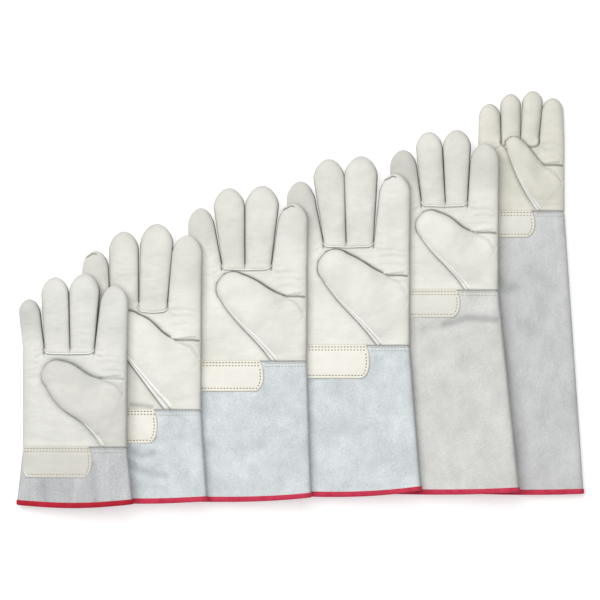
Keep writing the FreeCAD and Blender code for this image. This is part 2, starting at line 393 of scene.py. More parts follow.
def crumple(across, along, *layers):
    """Soft unevenness over a surface seen flat: noise in layers of (size, amount, seed, stretch).

    A stretch above 1 draws the noise out across the glove, and below 1 along it."""
    across, along = np.broadcast_arrays(across, along)
    total = np.zeros(across.shape)
    for size, amount, seed, stretch in layers:
        shift = Vector((seed * 17.3, seed * 5.1, seed * 9.7))
        values = [noise.noise(Vector((u / size / stretch, v / size * stretch, 0.0)) + shift)
                  for u, v in zip(across.ravel(), along.ravel())]
        total += np.array(values).reshape(across.shape) * amount
    return total


def path_distance(across, along, path):
    """Distance of each place from a line through a few points."""
    places = np.stack(np.broadcast_arrays(across, along), axis=-1).astype(float)
    nearest = np.full(places.shape[:-1], 1e9)
    for one, two in zip(path, path[1:]):
        one, step = np.array(one, float), np.subtract(two, one).astype(float)
        share = np.clip((places - one) @ step / (step @ step), 0, 1)
        gap = np.linalg.norm(places - one - share[..., None] * step, axis=-1)
        nearest = np.minimum(nearest, gap)
    return nearest


def crease(across, along, path, depth, width, dark=0.0):
    """A fold pressed in along a path with a low swell beside it: its relief and the painted shade
    in its valley.
    """
    gap = path_distance(across, along, path)
    valley = np.exp(-(gap / width) ** 2)
    swell = np.exp(-((gap - 2.6 * width) / (1.5 * width)) ** 2)
    return depth * (0.3 * swell - valley), dark * valley


FINGER_COLUMNS = 41      # points over a finger's front, side to side
FINGER_POWER = 2.35
BACK_POWER = 2.7
EDGE_REACH = 15.0        # rounded part of the hand's side
GROOVE_FADE = 6.0        # how far the gaps between fingers run down into the hand
# How much wider than its stall each glove's fingers swell.
FINGER_PLUMP = {1: 0.8, 2: 0.8, 3: 0.9, 4: 0.9, 5: 1.0, 6: 1.2}
# How much painted shade darkens each finger below the palm's leather: little, ring, middle and
# index.
FINGER_SHADES = {1: (0.24, 0.08, 0.03, 0.08), 2: (0.22, 0.0, 0.05, 0.17),
                3: (0.22, 0.07, 0.05, 0.13), 4: (0.25, 0.08, 0.03, 0.07),
                5: (0.32, 0.07, 0.06, 0.23), 6: (0.0, 0.0, 0.0, 0.0)}
# Painted shade, how dark it makes the hand's outer sides and the finger sides that face each other,
# where shade falls in the gap.
SIDE_SHADE = 0.35         # how dark the outer sides of the hand are
GAP_SHADE = 1.0           # and the sides of the fingers that face each other
# Where the front of the ring and middle fingers is sewn to the palm, below the knuckle line.
INSERT_DROP = {1: 5.6, 2: 10.5, 3: 5.4, 4: 5.2, 5: 4.8, 6: 11.0}
# Fingers whose tip shows the end of its side seam.
TIP_SEAMS = ((2, "little"), (3, "index"), (4, "index"))
# Inner end of the fold beside the thumb: from the hand's edge, and above the wrist.
THUMB_FOLDS = {1: (26.0, 71.4), 2: (25.2, 72.7), 3: (21.0, 67.5), 4: (22.0, 73.0),
               5: (23.6, 59.9), 6: (21.0, 47.8)}


class StallOutline:
    """A finger's or thumb's flat outline, in its own frame: across its root and to its tip.

    Cap is the length of the rounded end as a share of the tip's radius, and the powers set
    how pointed it is."""

    def __init__(self, start, finish, centre, radius, plump=0.0, cap=1.38, powers=(1.92, 1.82)):
        self.start = np.array(start)
        width = np.linalg.norm(finish - start)
        self.across = (finish - start) / width
        self.along = np.array([-self.across[1], self.across[0]])
        self.width = width
        self.centre = np.array([(centre - start) @ self.across, (centre - start) @ self.along])
        self.radius = radius + plump
        self.length = self.centre[1] + radius
        self.cap = cap * radius
        self.powers = powers
        self.tangents = [self.tangent(0.0, -1), self.tangent(width, 1)]

    def tangent(self, root, side):
        reach = self.centre - np.array([root, 0.0])
        distance = np.linalg.norm(reach)
        back = math.atan2(-reach[1], -reach[0])
        angle = back + side * math.acos(self.radius / distance)
        return self.centre + self.radius * np.array([math.cos(angle), math.sin(angle)])

    def closing(self, height):
        """How much of its width is left at a height: 1 up to the cap, and 0 at the tip."""
        share = np.clip((height - self.length + self.cap) / self.cap, 0, 1)
        return (1 - share ** self.powers[0]) ** (1 / self.powers[1])

    def edges(self, height):
        """Left and right edge at a height above the root."""
        sides = []
        for root, touch in zip((0.0, self.width), self.tangents):
            sides.append(root + (touch[0] - root) * np.minimum(height / touch[1], 1.0))
        middle, half = (sides[0] + sides[1]) / 2, (sides[1] - sides[0]) / 2
        middle = middle + (self.centre[0] - middle) * smooth(height, self.centre[1], self.length)
        half = half * self.closing(height)
        return middle - half, middle + half

    def heights(self, step):
        """Heights of the rings: even up to the cap, then closing up."""
        start = self.length - self.cap
        body = np.linspace(0, start, max(4, int(start / step)))
        turn = np.linspace(0, math.pi / 2, 21)[1:-1]
        return np.concatenate([body, start + self.cap * np.sin(turn)])

    def flat(self, across, along):
        """From the outline's own frame to the glove's."""
        return (self.start + np.multiply.outer(across, self.across)
                + np.multiply.outer(along, self.along))

    def end(self):
        """The tip's flat place in the glove's frame."""
        return self.flat(np.array([self.centre[0]]), np.array([self.length]))[0]


# ---------------------------------------------------------------- the hand

class Hand:
    """Surfaces of a glove's hand: palm and back heights, and the four stalls."""

    def __init__(self, glove):
        self.glove = glove
        corners = [glove.left]
        for one, two in zip(FINGERS, FINGERS[1:]):
            corners.append((glove.stalls[one][1][0] + glove.stalls[two][0][0]) / 2)
        corners.append(glove.right)
        self.corners = corners
        self.outlines = {}
        self.thumb_groove_and_shadow = ()
        for number, name in enumerate(FINGERS):
            _, _, centre, radius = glove.stalls[name]
            start = np.array([corners[number], glove.knuckles])
            finish = np.array([corners[number + 1], glove.knuckles])
            self.outlines[name] = StallOutline(start, finish, centre, radius,
                                               FINGER_PLUMP[glove.number])
        across, front = superellipse(FINGER_COLUMNS, FINGER_POWER)
        back = superellipse(FINGER_COLUMNS, BACK_POWER)[1]
        columns = [(left + right) / 2 + across * (right - left) / 2
                   for left, right in zip(corners, corners[1:])]
        self.columns, self.front, self.back = (
            np.concatenate([part[:-1] for part in parts[:3]] + [parts[3]])
            for parts in (columns, [front] * 4, [back] * 4))

    def heights(self, across, along, profile, power):
        """Share of the full height at places on the palm or back."""
        glove = self.glove
        distance = np.minimum(across - glove.left, glove.right - across)
        plain = edge_profile(np.clip(distance, 0, None), EDGE_REACH, power)
        humps = np.interp(across, self.columns, profile)
        share = np.exp(-np.clip((glove.knuckles - along) / GROOVE_FADE, 0, None) ** 1.4)
        return (1 - share) * plain + share * humps

    def folds(self):
        """Folds and seams of the palm: (path, depth, width, darkness of the painted shade in the
        valley), in millimetres.
        """
        glove = self.glove
        inset, rise = THUMB_FOLDS[glove.number]
        edge, turn = glove.right, np.array([glove.right - inset, glove.wrist + rise])
        base = glove.knuckles
        seam = [(u, v - 0.7) for u, v in self.insert_seam()]
        # Painted shade along the insert seam: a dark line in its groove and a soft band without
        # relief beside it.
        folds = [(seam, 1.2, 1.1, 0.75), (seam, 0.0, 3.0, 0.12),
                 ([turn - [3, -1.0], turn, (edge - 9, turn[1] + 0.4), (edge - 2, turn[1] - 0.6)],
                  1.5, 1.0, 0.45 if glove.number == 1 else 0.95),
                 ([turn + [-1, 0.8], (edge - 13, turn[1] + 3.0), (edge - 5, turn[1] + 3.4)],
                  0.7, 0.8, 0.4),
                 ([turn + [0, -2.0], (edge - 10, turn[1] - 8), (edge - 3, turn[1] - 17)],
                  0.7, 1.4, 0.16)]
        for number, drop in enumerate((9.0, 15.5, 24.0)):
            start = self.corners[3] + 4 + 5 * number % 7
            folds.append(([(start, base - drop), ((start + edge) / 2, base - drop + 1.2),
                           (edge - 3 - 6 * number % 5, base - drop - 1.5)], 0.35, 1.3, 0.06))
            folds.append(([(glove.left + 3, base - drop - 8), (glove.left + 17, base - drop - 7)],
                          0.22, 1.6, 0.05))
        for corner, lean in ((self.corners[1], -1.0), (self.corners[3], 1.0)):
            low = base - INSERT_DROP[glove.number]
            folds.append(([(corner, base + 0.5), (corner + 0.3, base - 6)], 0.9, 0.9, 0.7))
            folds.append(([(corner, low + 1), (corner + lean * 8, low - 4)], 0.5, 1.3, 0.14))
            folds.append(([(corner, low + 4), (corner + lean * 9, low + 3)], 0.4, 1.3, 0.10))
        # Painted shadow round the folded thumb: a dark line in a shallow groove, and a soft wide
        # shade beside it.
        soft, reach = (0.30, 4.5) if glove.number == 1 else (0.16, 3.5)
        for path, width, dark in zip(self.thumb_groove_and_shadow, (1.2, 1.5), (0.65, 1.0)):
            folds.append((path, 0.5, width, dark * THUMB_EDGE_SHADE[glove.number]))
            folds.append((path, 0.3, reach, soft))
        if glove.number == 2:
            folds.append(([(edge - 74, glove.wrist + 5), (edge - 52, glove.wrist + 2.5)],
                          1.0, 2.2, 0.4))
        return folds

    def insert_seam(self):
        corner, far = self.corners[2 if self.glove.number == 2 else 1], self.corners[3]
        low = self.glove.knuckles - INSERT_DROP[self.glove.number]
        return [(corner - 0.3, low + 5.5), (corner + 1.2, low + 2.0), (corner + 4.5, low + 0.3),
                ((corner + far) / 2, low - 0.5), (far - 5, low + 0.2), (far - 1.5, low + 1.6),
                (far + 0.2, low + 4.5)]

    def mark_insert(self, piece):
        """Gives the palm's strip above the insert seam the fingers' own leather."""
        glove = self.glove
        seam = np.array(self.insert_seam())
        local = (np.array([v.co for v in piece.data.vertices]) - glove.origin) @ glove.axes.T / MM
        low = np.interp(local[:, 0], seam[:, 0], seam[:, 1], left=1e9, right=1e9)
        inside = (local[:, 1] > low) & (local[:, 2] > glove.middle + 1)
        for face in piece.data.polygons:
            if all(inside[index] for index in face.vertices):
                face.material_index = 1

    def relief(self, across, along, share):
        """What folds, seams and unevenness add to the palm, and their painted shade."""
        glove = self.glove
        push = crumple(across, along, (34.0, 1.5, glove.number, 1.0),
                       (11.0, 0.6, glove.number + 20, 1.4), (5.0, 0.22, glove.number + 30, 1.7))
        depth = push * smooth(glove.knuckles - along, 0, 12) * smooth(along - glove.wrist, 0, 8)
        shade = np.zeros_like(depth)
        for fold in self.folds():
            pressed, dark = crease(across, along, *fold)
            depth += pressed
            shade = np.maximum(shade, dark)
        depth *= smooth(share, 0.1, 0.9) * smooth(glove.knuckles - along, 0, 1.5)
        # A small drop at the wrist seam, with painted shade along it where the hand's edge stands
        # over the cuff.
        seam = 1 - smooth(along - glove.wrist, 0.0, 1.3)
        return depth - 0.5 * seam * smooth(share, 0.3, 0.9), np.maximum(shade, 0.6 * seam)

    def palm(self, across, along):
        """Height of the palm face, its painted shade, and its height without folds."""
        glove = self.glove
        share = self.heights(across, along, self.front, FINGER_POWER)
        plain = glove.middle * (1 + share)
        depth, shade = self.relief(across, along, share)
        # Painted shade on the rounded sides of the palm and between the finger humps.
        side = SIDE_SHADE * (1 - smooth(share, 0.05, 0.6)) + 0.1 * (1 - smooth(share, 0.5, 1.0))
        return plain + depth, np.maximum(shade, side), plain - 0.9 * smooth(share, 0.5, 1.0)

    def skin(self):
        glove = self.glove
        rows = int((glove.knuckles - glove.wrist) / 1.0)
        levels = glove.wrist + (glove.knuckles - glove.wrist) * np.linspace(0, 1, rows)
        across, along = np.meshgrid(self.columns, levels)
        front, shade, plain = self.palm(across, along)
        share = self.heights(across, along, self.back, BACK_POWER)
        back = glove.middle * (1 - share) + 0.7 * (1 - smooth(along - glove.wrist, 0, 2.4)) * share
        # Painted shade on the back's rounded sides.
        dark = SIDE_SHADE * (1 - smooth(share, 0.05, 0.6))
        rings = loop(across, along, front, back)
        return Skin(f"{glove.body}_hand_leather", glove.to_row(rings), LEATHER,
                    plain=glove.to_row(loop(across, along, plain, back)),
                    shade=np.hstack([shade, dark[:, -2:0:-1]]))

    def finger_skin(self, name):
        glove, outline = self.glove, self.outlines[name]
        across, front = superellipse(FINGER_COLUMNS, FINGER_POWER)
        back = superellipse(FINGER_COLUMNS, BACK_POWER)[1]
        heights = outline.heights(1.1)
        left, right = outline.edges(heights)
        places = (left + right)[:, None] / 2 + across * (right - left)[:, None] / 2
        level = np.broadcast_to(heights[:, None], places.shape)
        flat = outline.flat(places, level)
        tip = np.clip((heights - outline.length + outline.cap) / outline.cap, 0, 1)
        closing = ((1 - tip ** 2.6) ** (1 / 2.1))[:, None]
        grown = smooth(heights, 0, 0.4 * outline.length)[:, None]
        seed = 10 * glove.number + FINGERS.index(name)
        push = crumple(places, level, (16.0, 0.8, seed, 1.3), (5.0, 0.35, seed, 1.6))
        # Painted shade on the finger's sides: full where it faces a neighbour, where shade falls in
        # the gap, lighter on the free outer side and towards the tip.
        facing = [SIDE_SHADE if name == end else GAP_SHADE for end in ("little", "index")]
        facing = np.where(np.arange(FINGER_COLUMNS) < FINGER_COLUMNS // 2, *facing)
        free = smooth(heights, 0.7 * outline.length, 0.93 * outline.length)[:, None]
        facing = facing * (1 - free) + SIDE_SHADE * free
        shade = facing * (1 - smooth(front * (0.2 + 0.8 * closing), 0.1, 0.64))
        # Painted shade round the fingertip's rounded edge.
        shade = np.maximum(shade, 0.15 * (1 - smooth(front * closing, 0.4, 1.0)))
        # Painted shade over the whole finger, growing from its root.
        finger_shade = FINGER_SHADES[glove.number][FINGERS.index(name)] * smooth(heights, 0, 28)[:, None]
        shade = np.maximum(shade, finger_shade)
        if (glove.number, name) in TIP_SEAMS:
            end, middle = outline.length, outline.centre[0]
            seam = [(middle - 0.95 * outline.radius, end - 8.5), (middle - 5.5, end - 5.0),
                    (middle - 2.5, end - 2.8), (middle + 1.5, end - 3.6)]
            # The tip seam's crease, with painted shade in its valley.
            pressed, dark = crease(places, level, seam, 0.7, 0.75, 1.0)
            push = push + pressed
            shade = np.maximum(shade, dark)
        relief = push * smooth(front, 0.1, 0.9) * smooth(heights, 0, 5)[:, None] * closing
        plain = glove.middle * (1 + (1 + 0.2 * grown) * closing * front)
        under = glove.middle * (1 - closing * back)
        across, along = flat[..., 0], flat[..., 1]
        tip = glove.to_row([*outline.end(), glove.middle])
        # Painted shade on the back's rounded sides, and over the whole finger.
        dark = np.maximum(facing * (1 - smooth(back, 0.05, 0.6)), finger_shade)
        return Skin(f"{glove.body}_{name}_finger_leather",
                    glove.to_row(loop(across, along, plain + relief, under)), LEATHER, tip,
                    plain=glove.to_row(loop(across, along, plain - 0.4 * front * closing, under)),
                    shade=np.hstack([shade, dark[:, -2:0:-1]]))


def loop(across, along, front, back):
    """Closed rings from the heights of a front and a back over the same places."""
    across, along, front, back = np.broadcast_arrays(across, along, front, back)
    upper = np.stack([across, along, front], axis=-1)
    lower = np.stack([across, along, back], axis=-1)[:, -2:0:-1]
    return np.concatenate([upper, lower], axis=1)


# ---------------------------------------------------------------- the thumb

THUMB_COLUMNS = 81
THUMB_FAN = 30.0         # length below the root, whose sections fan out to the hand's side
THUMB_GAP = 0.2          # between the plain palm and a thumb that lies on it
THUMB_LIFT = 0.35        # the thumb's skin above the palm that it is sewn to
THUMB_EDGE = 0.42        # height of its edge, as a share of its thickness
# Painted shade along the thumb's edge, and on the palm lines round the folded thumb: how dark it
# is.
THUMB_EDGE_SHADE = {1: 0.75, 2: 1.0, 3: 1.0, 4: 1.0, 5: 0.85, 6: 0.5}    # how dark its edge is
# How the thumb's lower side bows out, and how it sways, in millimetres.
THUMB_LOWER = {1: (0.0, 3.5), 2: (0.0, 0.0), 3: (-0.5, 1.0), 4: (-0.5, 1.0), 5: (0.0, 1.0),
               6: (-3.0, 0.0)}
# How far its upper side swings in above the crease and out below the tip, in millimetres.
THUMB_UPPER = {1: 1.3, 2: 1.6, 3: 1.3, 4: 1.3, 5: 1.6, 6: 0.6}
WELT_TOPS = {1: 0.3, 2: 0.93, 3: 0.93, 4: 0.93, 5: 0.93, 6: 0.97}    # share of its length
WELT_WIDTHS = {1: 5.0, 2: 10.0, 3: 7.0, 4: 7.0, 5: 6.0, 6: 5.5}


class Thumb:
    """The thumb's shell, folded across the palm and sewn in along the wrist and the side."""

    def __init__(self, glove, hand):
        self.glove, self.hand = glove, hand
        self.outline = outline = StallOutline(*glove.thumb, cap=1.0, powers=(2.1, 2.1))
        self.thickness = glove.span("thumb")[1][2] - glove.thick
        inset, rise = THUMB_FOLDS[glove.number]
        turn = np.array([glove.right - inset, glove.wrist + rise]) - outline.start
        self.turn = np.array([turn @ outline.across, turn @ outline.along])
        self.bulge = self.turn[0] - outline.edges(self.turn[1])[1]
        hand.thumb_groove_and_shadow = self.mark()

    def mark(self):
        """The lines along the folded thumb's lower and upper side, where the palm gets a shallow
        pressed groove and painted shadow.
        """
        top = self.outline.length
        heights = np.concatenate([np.linspace(0, 0.8 * top, 9), np.linspace(0.85, 0.99, 4) * top])
        lower = [tuple(self.sides(height)[0]) for height in heights]
        upper = [tuple(self.sides(height)[1]) for height in heights[::-1]]
        upper = [place for place, height in zip(upper, heights[::-1]) if height >= self.turn[1]]
        return [tuple(self.foot_at_seam())] + lower, lower[-3:] + upper

    def foot_at_seam(self):
        """Where the thumb's lower side would meet the wrist seam."""
        foot, above = (self.sides(height)[0] for height in (0.0, 8.0))
        step = (foot - above) / (above[1] - foot[1])
        return foot + step * (foot[1] - self.glove.wrist - 0.4)

    def sides(self, height):
        """Lower and upper end of a section: across the thumb, or fanning out at its root."""
        glove, outline = self.glove, self.outline
        if height >= 0:
            left, right = outline.edges(height)
            top = outline.tangents[0][1]
            bow, sway = THUMB_LOWER[glove.number]
            turn = math.pi * min(height / top, 1.0)
            left = left + bow * math.sin(turn) + sway * math.sin(2 * turn)
            past = smooth(height, self.turn[1], outline.tangents[1][1])
            right = right + self.bulge * min(height / self.turn[1], 1 - past)
            upper = (height - self.turn[1]) / (outline.tangents[1][1] - self.turn[1])
            swing = math.sin(2 * math.pi * min(max(upper, 0.0), 1.0))
            right = right - THUMB_UPPER[glove.number] * swing
            return outline.flat(np.array([left, right]), np.array([height]))
        share = -height / THUMB_FAN
        corner = np.array([glove.right - 0.6, glove.wrist + 0.5])
        foot, crotch = outline.flat(np.array([0.0, outline.width]), np.zeros(2))
        low = foot + (corner - foot) * share
        high = crotch + np.array([-0.6, 4.0]) * share
        return low, high

    def section(self, height, across):
        """Flat places, resting height, edge height and rise of one section."""
        glove, outline = self.glove, self.outline
        low, high = self.sides(height)
        flat = low + np.multiply.outer((across + 1) / 2, high - low)
        tip = np.clip((height - outline.centre[1]) / outline.radius, 0, 1)
        closing = (1 - tip ** 2.4) ** (1 / 2.1)
        upper = smooth((across + 1) / 2, 0.35, 1.0)
        rise = (1 - upper) * smooth(height, -THUMB_FAN, 0.6 * outline.centre[1])
        rise = rise + upper * smooth(height, self.turn[1] - 7, self.turn[1] + 20)
        rise = rise * smooth(flat[:, 1] - glove.wrist, -1, 20)
        sunk = 0.8 * upper * (1 - smooth(height, -3, 8)) * smooth(height, -THUMB_FAN, -6)
        palm, shade, _ = self.hand.palm(flat[:, 0], flat[:, 1])
        palm = palm * (1 - rise) + (glove.thick + THUMB_GAP) * rise
        rest, lift = palm + THUMB_LIFT - sunk, self.thickness * rise
        return flat, rest, THUMB_EDGE * lift, lift, closing, shade

    def front(self, height, across, front):
        """Points of the thumb's outer face at a section."""
        flat, rest, half, lift, closing, shade = self.section(height, across)
        up = rest + half + (lift - half) * closing * front
        return np.column_stack([flat, up]), shade, rest + half - half * closing

    def skin(self):
        glove, outline = self.glove, self.outline
        across, front = superellipse(THUMB_COLUMNS, 2.5)
        under = superellipse(THUMB_COLUMNS, 3.0)[1]
        rings, shades = [], []
        before = np.linspace(-THUMB_FAN, 0, 22)[:-1]
        for height in np.concatenate([before, outline.heights(1.2)]):
            flat, rest, half, lift, closing, palm_shade = self.section(height, across)
            out = rest + half + (lift - half) * closing * front
            push = crumple(flat[:, 0], flat[:, 1], (18.0, 0.7, glove.number + 40, 1.2),
                           (7.0, 0.35, glove.number + 50, 1.0))
            out = out + push * smooth(lift * front, 1.0, 5.0) * closing
            low = rest + half - half * closing * under
            upper = np.column_stack([flat, out])
            lower = np.column_stack([flat, np.minimum(low, out - 0.05)])[-2:0:-1]
            rings.append(np.vstack([upper, lower]))
            # Painted shade along the thumb's edge and round its tip where it stands over the palm,
            # the palm's own painted shade where the thumb still lies on it, and a faint painted
            # shade on its underside.
            edge = THUMB_EDGE_SHADE[glove.number] * (1 - smooth(front * closing, 0.05, 0.5))
            edge = np.maximum(edge, 0.14 * (1 - smooth(front * closing, 0.4, 1.0)))
            edge = edge * smooth(lift, 0.3, 2.5)
            shade = np.maximum(edge, palm_shade * (1 - smooth(lift, 0.8, 3.0)))
            shades.append(np.concatenate([shade, np.full(len(lower), 0.05)]))
        level = glove.thick + THUMB_GAP + THUMB_LIFT + THUMB_EDGE * self.thickness
        tip = glove.to_row([*outline.end(), level])
        return Skin(f"{glove.body}_thumb_leather", glove.to_row(np.array(rings)), 0.0, tip,
                    shade=np.array(shades))

    def build(self, material):
        """A closed shell: its root end is a thin edge under the hand's side."""
        skin = self.skin()
        share_normals([skin])
        faces = skin.faces + [tuple(range(skin.columns - 1, -1, -1))]
        piece = make_object(skin.name, skin.points, faces, [material])
        set_shade(piece, skin.shade)
        return piece

    def welt(self, material):
        """The strip of leather sewn into the seam along the thumb's lower side."""
        glove = self.glove
        width = WELT_WIDTHS[glove.number]
        top = WELT_TOPS[glove.number] * self.outline.tangents[0][1]
        rows, shades = [], []
        across, front = superellipse(THUMB_COLUMNS, 2.5)
        share = np.linspace(0, 1, 13)
        seam, foot = self.foot_at_seam(), self.sides(0.0)[0]
        steps = int(np.linalg.norm(foot - seam) / 1.2) + 1
        for height in np.concatenate([np.arange(-steps, 0), np.linspace(0.0, top, 60)]):
            points, _, _ = self.front(max(height, 0.0), across, front)
            lengths = np.linalg.norm(points[:, :2] - points[0, :2], axis=1)
            reach = width * (1 - 0.8 * (max(height, 0.0) / top) ** 0.8)
            places = 0.5 + share * reach
            row = along_path(places, lengths, points)
            if height < 0:
                fall = (row[:, 1] - glove.wrist - 0.4) / (foot[1] - seam[1])
                row[:, :2] += np.outer(fall, seam - foot) * -height / steps
                row[:, 2] = self.hand.palm(row[:, 0], row[:, 1])[0] + THUMB_LIFT
            row[:, 2] += 0.25 + 0.75 * np.sin(math.pi * share) ** 0.5 - 0.35 * np.exp(
                -((share - 0.55) / 0.12) ** 2)
            rows.append(row)
            # Painted shade: a dark line along the welt's outer edge and a softer one in the groove
            # along its middle.
            shades.append(0.9 * (share < 0.05) + 0.55 * np.exp(-((share - 0.55) / 0.1) ** 2))
        front = np.array(rows)
        front[:2, :, 2] -= np.array([0.5, 0.2])[:, None]
        return sheet_piece(glove, f"{glove.body}_thumb_welt", front, 1.1, material,
                           np.array(shades))


# ---------------------------------------------------------------- cuff and binding

CUFF_COLUMNS = 121
CUFF_REACH = 9.0         # rounded part of the cuff's side
# How far the middle of the hem hangs below its ends, and how far its right end is drawn up.
HEM_SHAPES = {1: (3.3, 1.0), 2: (2.2, 0.5), 3: (0.5, 4.5), 4: (1.5, 5.5), 5: (0.8, 2.0),
              6: (1.0, 0.0)}
# Soft folds of the cuffs: (path, depth, width, darkness of the painted shade in the fold), from the
# hem's left corner.
CUFF_FOLDS = {
    1: [([(30, 20), (33, 2)], 1.0, 3.0, 0.22), ([(62, 24), (60, 2)], 0.9, 2.6, 0.18),
        ([(84, 44), (87, 4)], 0.9, 2.6, 0.2), ([(104, 36), (103, 4)], 0.7, 3.0, 0.15),
        ([(96, 30), (98, 6)], 0.5, 1.6, 0.12)],
    2: [([(50, 54), (66, 47), (78, 49)], 1.6, 3.6, 0.4),
        ([(50, 38), (70, 30), (92, 26)], 1.6, 3.6, 0.4),
        ([(44, 46), (60, 38)], 0.9, 3.0, 0.2),
        ([(62, 72), (84, 64), (112, 66)], 1.0, 4.0, 0.16),
        ([(96, 56), (110, 42)], 0.7, 4.0, 0.12)],
    3: [([(30, 60), (60, 52), (84, 58)], 0.7, 6.0, 0.08), ([(70, 96), (110, 88)], 0.6, 6.0, 0.08),
        ([(96, 30), (104, 56)], 0.5, 5.0, 0.08)],
    4: [([(24, 70), (50, 62), (90, 70)], 0.7, 6.0, 0.08), ([(60, 118), (120, 110)], 0.6, 6.0, 0.08),
        ([(20, 120), (60, 128)], 0.8, 4.5, 0.14)],
    5: [([(60, 177), (84, 184), (116, 182)], 1.2, 4.0, 0.6),
        ([(30, 120), (60, 112)], 0.6, 8.0, 0.08),
        ([(74, 160), (80, 130)], 0.6, 6.0, 0.1), ([(40, 172), (64, 176)], 0.8, 4.0, 0.16)],
    6: [([(24, 224), (34, 214), (42, 216)], 1.4, 6.0, 0.45),
        ([(50, 176), (66, 168)], 1.0, 7.0, 0.16),
        ([(26, 150), (30, 120)], 0.7, 8.0, 0.12), ([(60, 232), (86, 214)], 0.9, 6.0, 0.2),
        ([(70, 200), (76, 160)], 0.7, 6.0, 0.12)],
}


class Cuff:
    """The sleeve's surface: a flattened tube that flares to the hem."""

    def __init__(self, glove):
        self.glove = glove
        spacing, _ = superellipse(CUFF_COLUMNS, 2.0)
        self.spacing = 0.35 * spacing + 0.65 * np.linspace(-1, 1, CUFF_COLUMNS)

    def sides(self, along):
        glove = self.glove
        share = np.clip((glove.wrist - along) / (glove.wrist - glove.tape), 0, 1)
        return glove.left * (1 - share), glove.right + (glove.hem_width - glove.right) * share

    def ring(self, along, grow=0.0):
        """A closed section at a height above the hem, grown outwards, or drawn in below 0."""
        glove = self.glove
        left, right = self.sides(along)
        left, right = left - grow, right + grow
        across = (left + right) / 2 + self.spacing * (right - left) / 2
        puff = edge_profile(np.minimum(across - left, right - across), CUFF_REACH, 2.2)
        half = glove.middle + grow
        share = (across - left) / (right - left)
        bow, rise = HEM_SHAPES[glove.number]
        hang = (bow * np.sin(math.pi * share) - rise * share ** 3) * smooth(-along, -30, 0)
        upper = np.column_stack([across, along - hang, glove.middle + half * puff])
        lower = np.column_stack([across, along - hang, glove.middle - half * puff])
        return np.vstack([upper, lower[-2:0:-1]])

    def front(self, across, along):
        """Height of the cuff's upper face, without its unevenness."""
        left, right = self.sides(along)
        distance = np.clip(np.minimum(across - left, right - across), 0, None)
        return self.glove.middle * (1 + edge_profile(distance, CUFF_REACH, 2.2))

    def skin(self):
        glove = self.glove
        top = glove.wrist + 3.0
        levels = np.linspace(0.6, top, int(top / 1.8))
        tucks = -0.25 - 0.6 * smooth(levels, glove.wrist - 3.0, glove.wrist - 0.8)
        tucks -= 1.3 * smooth(levels, glove.wrist - 0.6, glove.wrist + 0.4)
        plain = np.array([self.ring(level, tuck) for level, tuck in zip(levels, tucks)])
        across, along, height = plain[..., 0], plain[..., 1], plain[..., 2]
        push = crumple(across, along, (32.0, 1.3, glove.number, 0.8),
                       (10.0, 0.35, glove.number + 7, 1.0))
        shade = np.zeros_like(push)
        front = smooth(height - glove.middle, 0, 2)
        for fold in CUFF_FOLDS[glove.number]:
            pressed, dark = crease(across, along, *fold)
            push += pressed * front
            shade = np.maximum(shade, dark * front)
        # Painted shade on the cuff's rounded sides; below, painted shade at its top, under the
        # hand's edge at the wrist seam.
        side = 1 - smooth(np.abs(height - glove.middle), 1.2, 4.5)
        fade = smooth(np.abs(height - glove.middle), 0, 5)
        fade = fade * smooth(glove.wrist - along, 0, 12) * smooth(along, 5, 16)
        rings = plain.copy()
        rings[..., 2] += np.sign(height - glove.middle) * push * fade
        rings[..., 2] = np.maximum(rings[..., 2], 0.1)
        seam = smooth(along, glove.wrist - 1.8, glove.wrist - 0.4)
        shade = np.maximum.reduce([shade, 0.5 * side, 0.8 * seam])
        plain[..., 2] += np.where(height > glove.middle, -1.2, 1.2) * fade
        return Skin(f"{glove.body}_cuff_suede", glove.to_row(rings), SUEDE,
                    plain=glove.to_row(plain), shade=shade)

    def binding(self, material):
        """Tape folded over the edge of the mouth: a closed loop with a U section."""
        glove = self.glove
        section = [(5.0, 0.1), (4.85, 0.5), (3.6, 0.75), (1.6, 0.8), (0.3, 0.6), (-0.4, 0.0),
                   (-0.5, -0.9), (-0.1, -2.0), (1.2, -2.3), (3.4, -2.25), (4.7, -2.0),
                   (4.8, -1.6)]
        rings = np.array([self.ring(along, grow - 0.1) for along, grow in section])
        rings[..., 2] = np.maximum(rings[..., 2], 0.0)
        rows, columns = rings.shape[:2]
        points = glove.to_row(rings.reshape(-1, 3))
        faces = [tuple(reversed(face)) for face in ring_faces(rows, columns)]
        last = (rows - 1) * columns
        for column in range(columns):
            following = (column + 1) % columns
            faces.append((column, following, last + following, last + column))
        return make_object(f"{glove.body}_hem_tape", points, faces, [material])


# ---------------------------------------------------------------- wrist tab and stitching

TAB_THICKNESS = 1.3
TAB_EDGE = 1.2           # rounded border of the tab
TAB_SLANT = 4.0          # how far its end is cut back at the top
TAB_CORNERS = (0.7, 7.0), (0.55, 11.0)    # left and right: where they begin, and their size
STITCH_RADIUS = 0.54
CUFF_STITCH_RADIUS = 0.36
TOP_ROWS = (2.8, 6.0)    # the two rows of stitches below the tab's upper edge
BORDER_ROW = 3.4         # from the tab's lower edge and its end to the single row


